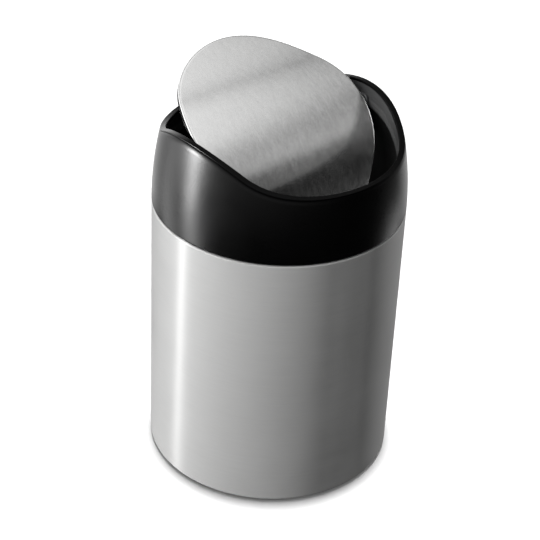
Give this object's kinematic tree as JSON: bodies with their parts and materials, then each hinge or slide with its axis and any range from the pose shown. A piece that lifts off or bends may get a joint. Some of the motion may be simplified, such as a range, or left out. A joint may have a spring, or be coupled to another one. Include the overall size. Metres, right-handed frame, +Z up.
{
  "type": "countertop bin",
  "caption": "Round brushed steel countertop bin with a black wave-rimmed collar, a swinging steel lid and a lift-out bucket.",
  "frame": {"origin": "centre of the base, on the surface it stands on", "axes": "+Z up, -Y towards the front, +X along the lid's pivot axis"},
  "size_m": [0.124, 0.124, 0.2067],
  "materials": {
    "brushed_steel": "fine brushed",
    "collar_plastic": "satin",
    "throat_plastic": "satin",
    "base_plastic": "matt",
    "bucket_plastic": "matt",
    "rubber": "matt",
    "acetal": "satin",
    "pin_steel": "turned",
    "weight_iron": "zinc plated"
  },
  "bodies": {
    "bin_body": {"steel_body": "brushed_steel", "base_pan": "base_plastic", "foot_ring": "rubber"},
    "inner_bucket": {"inner_bucket": "bucket_plastic"},
    "collar": {"collar": "collar_plastic", "throat_ring": "throat_plastic", "pivot_bushes": "acetal", "stop_buffers": "rubber"},
    "lid": {"lid_cover": "brushed_steel", "lid_base": "throat_plastic", "pivot_pin_left": "pin_steel", "pivot_pin_right": "pin_steel", "counterweight": "weight_iron", "weight_screws": "pin_steel"}
  },
  "joints": [
    {"name": "collar_lift", "type": "slide", "parent": "bin_body", "child": "collar", "axis": [0, 0, 1], "range_m": [0, 0.3]},
    {"name": "bucket_lift", "type": "slide", "parent": "bin_body", "child": "inner_bucket", "axis": [0, 0, 1], "range_m": [0, 0.15]},
    {"name": "lid_swing", "type": "hinge", "parent": "collar", "child": "lid", "pos_m": [0, 0, 0.1785], "axis": [1, 0, 0], "range_deg": [-105, 25]}
  ],
  "couplings": [
    {"joint": "bucket_lift", "follows": "collar_lift", "ratio": 0.5}
  ]
}
